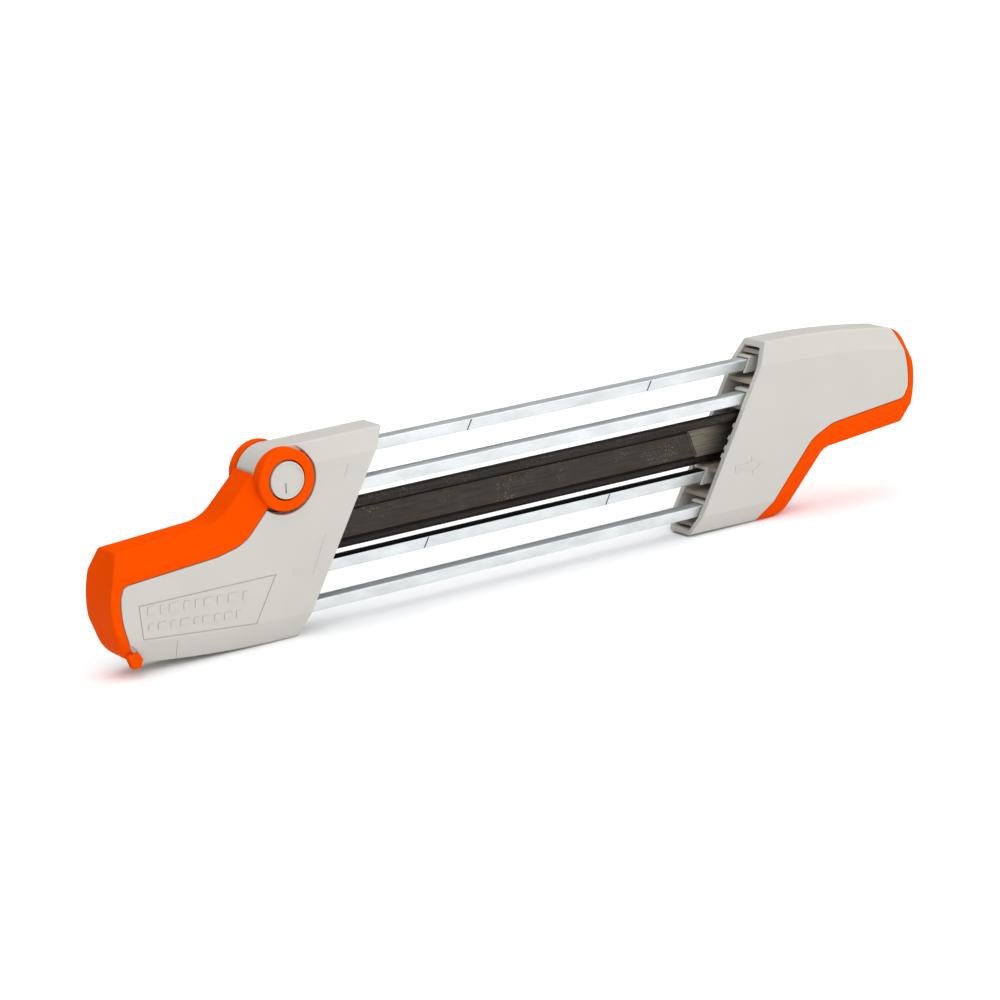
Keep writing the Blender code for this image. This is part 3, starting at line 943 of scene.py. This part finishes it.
def ramp(tree, value, stops):
    """A colour ramp; stops are (position, linear colour)."""
    made = tree.nodes.new("ShaderNodeValToRGB")
    elements = made.color_ramp.elements
    while len(elements) < len(stops):
        elements.new(0.5)
    for element, (place, colour) in zip(elements, stops):
        element.position = place
        element.color = (*colour, 1.0)
    tree.links.new(value, made.inputs["Fac"])
    return made.outputs["Color"]


def to_range(tree, value, low, high):
    """A value from 0 to 1, spread from low to high."""
    made = tree.nodes.new("ShaderNodeMapRange")
    made.inputs["To Min"].default_value = low
    made.inputs["To Max"].default_value = high
    tree.links.new(value, made.inputs["Value"])
    return made.outputs["Result"]


def bump(tree, shader, height, strength, distance):
    made = tree.nodes.new("ShaderNodeBump")
    made.inputs["Strength"].default_value = strength
    made.inputs["Distance"].default_value = distance
    tree.links.new(height, made.inputs["Height"])
    tree.links.new(made.outputs["Normal"], shader.inputs["Normal"])


def scaled(colour, factor):
    """A colour made lighter or darker."""
    return tuple(min(c * factor, 1.0) for c in colour)


def moulded_plastic(name, colour, roughness, variation, grain, specular):
    """Moulded plastic: a fine spark-eroded grain and a slightly uneven colour and gloss."""
    material, tree, shader = new_material(name, colour, roughness)
    where = position(tree)
    cloud = noise(tree, where, 45.0, 4.0, 0.55)
    stops = [(0.3, scaled(colour, 1 - variation)), (0.7, scaled(colour, 1 + variation))]
    tree.links.new(ramp(tree, cloud, stops), shader.inputs["Base Color"])
    gloss = to_range(tree, noise(tree, where, 160.0), roughness - 0.06, roughness + 0.08)
    tree.links.new(gloss, shader.inputs["Roughness"])
    bump(tree, shader, noise(tree, where, 2600.0, 2.0), grain, 0.00004)
    shader.inputs["Specular IOR Level"].default_value = specular
    return material


def zinc_steel():
    """Bright zinc plating over a drawn bar: faint lines along it, cloudy gloss, a cool tint."""
    colour = (0.72, 0.745, 0.75)
    material, tree, shader = new_material("zinc_steel", colour, 0.3, 1.0)
    drawn = noise(tree, position(tree, (8.0, 900.0, 900.0)), 1.0)
    cloud = noise(tree, position(tree, (60.0, 160.0, 160.0)), 1.0, 4.0, 0.6)
    stops = [(0.3, scaled(colour, 0.82)), (0.62, colour)]
    tree.links.new(ramp(tree, cloud, stops), shader.inputs["Base Color"])
    tree.links.new(to_range(tree, drawn, 0.44, 0.58), shader.inputs["Roughness"])
    bump(tree, shader, drawn, 0.25, 0.00003)
    return material


def file_steel(name, colour, dust):
    """Dark hardened steel with fine lines along it, and glints of dust and swarf in patches."""
    material, tree, shader = new_material(name, colour, 0.5, 0.75)
    where = position(tree)
    lines = noise(tree, position(tree, (60.0, 1500.0, 1500.0)), 1.0, 3.0, 0.6)
    stops = [(0.3, scaled(colour, 0.6)), (0.7, scaled(colour, 1.4))]
    base = ramp(tree, lines, stops)
    grit = ramp(tree, noise(tree, where, 2400.0, 2.0, 0.7), [(0.62, (0, 0, 0)), (0.7, (1, 1, 1))])
    patch = ramp(tree, noise(tree, where, 55.0, 3.0), [(0.5, (0, 0, 0)), (0.64, (dust,) * 3)])
    glint = tree.nodes.new("ShaderNodeMath")
    glint.operation = "MULTIPLY"
    tree.links.new(grit, glint.inputs[0])
    tree.links.new(patch, glint.inputs[1])
    mix = tree.nodes.new("ShaderNodeMixRGB")
    tree.links.new(glint.outputs["Value"], mix.inputs["Fac"])
    tree.links.new(base, mix.inputs["Color1"])
    mix.inputs["Color2"].default_value = (0.62, 0.50, 0.30, 1.0)
    tree.links.new(mix.outputs["Color"], shader.inputs["Base Color"])
    tree.links.new(to_range(tree, noise(tree, where, 300.0), 0.38, 0.6), shader.inputs["Roughness"])
    bump(tree, shader, lines, 0.35, 0.00004)
    return material


def matte_black(name, colour):
    """A dull dark surface, slightly cloudy, with a fine grain."""
    material, tree, shader = new_material(name, colour, 0.8)
    where = position(tree)
    stops = [(0.35, scaled(colour, 0.7)), (0.7, scaled(colour, 1.4))]
    tree.links.new(ramp(tree, noise(tree, where, 220.0), stops), shader.inputs["Base Color"])
    bump(tree, shader, noise(tree, where, 1500.0), 0.3, 0.00005)
    shader.inputs["Specular IOR Level"].default_value = 0.1
    return material


def floor_material():
    """A matt white table, very slightly uneven."""
    material, tree, shader = new_material("floor", (0.97, 0.97, 0.97), 0.9)
    cloud = noise(tree, position(tree), 3.0)
    stops = [(0.3, (0.96, 0.96, 0.96)), (0.7, (0.98, 0.98, 0.98))]
    tree.links.new(ramp(tree, cloud, stops), shader.inputs["Base Color"])
    return material


def paint_cad_nodes(materials):
    """Materials for the hidden CAD nodes that are carried over as they are."""
    plan = {
        "insert": ("file_tip_socket",),
        "zinc": ("left_lock_plate", "right_lock_plate", "pivot_axle"),
        "orange": ("cover_pusher",),
        "rubber": ("cover_pressure_pad",),
    }
    for key, names in plan.items():
        for name in names:
            obj = frame["nodes"][name]
            obj.data.materials.clear()
            obj.data.materials.append(materials[key])


# ---------------------------------------------------------------- studio


FLOOR_HALF = 60.0
FLOOR_Z = -0.0002
KEY_PLACE, KEY_SIZE, KEY_POWER = (0.55, -1.2, 0.9), 1.1, 4.0
KEY_AIM = (0.0, 0.0, 0.034)
FRONT = (0.35, -0.94, 0.0)  # where the studio is bright low down too
CAMERA_PLACE = (-0.59743, -0.86988, 0.31099)
CAMERA_ANGLES = (33.838, 15.06, -3.24)  # azimuth, elevation, roll
CAMERA_LENS, CAMERA_SENSOR = 109.24, 36.0


def make_studio():
    """A pale floor, the surroundings and one large soft light."""
    mesh = bpy.data.meshes.new("floor")
    corners = rectangle((-FLOOR_HALF, -FLOOR_HALF), (FLOOR_HALF, FLOOR_HALF))
    mesh.from_pydata([(x, y, FLOOR_Z) for x, y in corners], [], [(0, 1, 2, 3)])
    floor = bpy.data.objects.new("floor", mesh)
    floor.data.materials.append(floor_material())
    bpy.context.scene.collection.objects.link(floor)

    make_world()
    add_key_light()


def make_world():
    """Studio surroundings: bright overhead and in front, dark low down behind the object."""
    world = bpy.data.worlds.new("studio")
    world.use_nodes = True
    tree = world.node_tree
    coords = tree.nodes.new("ShaderNodeTexCoord")
    split = tree.nodes.new("ShaderNodeSeparateXYZ")
    tree.links.new(coords.outputs["Generated"], split.inputs["Vector"])
    facing = tree.nodes.new("ShaderNodeVectorMath")
    facing.operation = "DOT_PRODUCT"
    facing.inputs[1].default_value = FRONT
    tree.links.new(coords.outputs["Generated"], facing.inputs[0])
    height = split.outputs["Z"]
    above = blend_range(tree, height, (0.6, 0.92), (0.01, 2.9))
    ahead = blend_range(tree, height, (0.0, 1.0), (1.0, 1.5))
    turned = blend_range(tree, facing.outputs["Value"], (-0.5, 0.6), (0.0, 1.0))
    mix = tree.nodes.new("ShaderNodeMix")
    tree.links.new(turned, mix.inputs["Factor"])
    tree.links.new(above, mix.inputs["A"])
    tree.links.new(ahead, mix.inputs["B"])
    background = tree.nodes["Background"]
    background.inputs["Color"].default_value = (0.98, 0.99, 1.0, 1.0)
    tree.links.new(mix.outputs["Result"], background.inputs["Strength"])
    bpy.context.scene.world = world


def blend_range(tree, value, source, target):
    """A smooth step of a value from one range to another."""
    made = tree.nodes.new("ShaderNodeMapRange")
    made.interpolation_type = "SMOOTHSTEP"
    for name, number in zip(("From Min", "From Max", "To Min", "To Max"), (*source, *target)):
        made.inputs[name].default_value = number
    tree.links.new(value, made.inputs["Value"])
    return made.outputs["Result"]


def add_key_light():
    light = bpy.data.lights.new("key", "AREA")
    light.shape = "SQUARE"
    light.size = KEY_SIZE
    light.energy = KEY_POWER
    obj = bpy.data.objects.new("key", light)
    obj.location = KEY_PLACE
    aim = Vector(KEY_AIM) - Vector(KEY_PLACE)
    obj.rotation_mode = "QUATERNION"
    obj.rotation_quaternion = aim.to_track_quat("-Z", "Y")
    bpy.context.scene.collection.objects.link(obj)


def make_camera():
    """A long lens from the front left, slightly above, with a small roll."""
    azimuth, elevation, roll = (math.radians(a) for a in CAMERA_ANGLES)
    sin_a, cos_a = math.sin(azimuth), math.cos(azimuth)
    level = math.cos(elevation)
    look = Vector((sin_a * level, cos_a * level, -math.sin(elevation)))
    right = Vector((cos_a, -sin_a, 0.0))
    up = right.cross(look)
    x_axis = right * math.cos(roll) + up * math.sin(roll)
    y_axis = up * math.cos(roll) - right * math.sin(roll)
    camera = bpy.data.cameras.new("camera")
    camera.lens = CAMERA_LENS
    camera.sensor_width = CAMERA_SENSOR
    camera.clip_start, camera.clip_end = 0.05, 60.0
    obj = bpy.data.objects.new("camera", camera)
    axes = Matrix((x_axis, y_axis, -look)).transposed().to_4x4()
    obj.matrix_world = Matrix.Translation(CAMERA_PLACE) @ axes
    bpy.context.scene.collection.objects.link(obj)
    bpy.context.scene.camera = obj


def make_materials():
    return {
        "shell": moulded_plastic("grey_plastic", (0.493, 0.476, 0.438), 0.5, 0.015, 0.35, 0.2),
        # The insert's colour is a darker, browner grey than the shell: painted shade inside the
        # handles' mouths.
        "insert": moulded_plastic("insert_plastic_painted_shade", (0.26, 0.23, 0.18), 0.5, 0.04, 0.3, 0.2),
        "orange": moulded_plastic("orange_plastic", (0.75, 0.064, 0.0), 0.45, 0.03, 0.3, 0.004),
        "zinc": zinc_steel(),
        "flat_cut": file_steel("flat_cut", (0.042, 0.034, 0.028), 1.0),
        "round_cut": file_steel("round_cut", (0.022, 0.018, 0.016), 0.5),
        "blank": file_steel("blank_steel", (0.15, 0.13, 0.105), 0.5),
        "rubber": matte_black("rubber", (0.03, 0.03, 0.03)),
        # Black for the scribe marks, and for the painted shade on the third rail's top and along
        # the flat file's edges.
        "black": matte_black("black_marks_and_painted_shade", (0.006, 0.0055, 0.005)),
    }


def main():
    materials = make_materials()
    make_left_shell(materials["shell"])
    make_right_shell(materials["shell"])
    make_right_cap(materials["orange"])
    make_cover(materials["orange"])
    make_pivot_cap("front", -1, materials["shell"])
    make_pivot_cap("back", 1, materials["shell"])
    make_rails(materials["zinc"], materials["black"])
    for name in ROUND_FILES:
        make_round_file(name, materials["round_cut"])
    make_flat_file(materials["flat_cut"], materials["blank"], materials["black"])
    for label, side in (("left", -1), ("right", 1)):
        make_insert(label, side, materials["insert"])
        make_seats(label, side, materials["shell"])
    paint_cad_nodes(materials)
    make_studio()
    make_camera()
    bpy.context.scene.view_settings.view_transform = "Standard"


main()
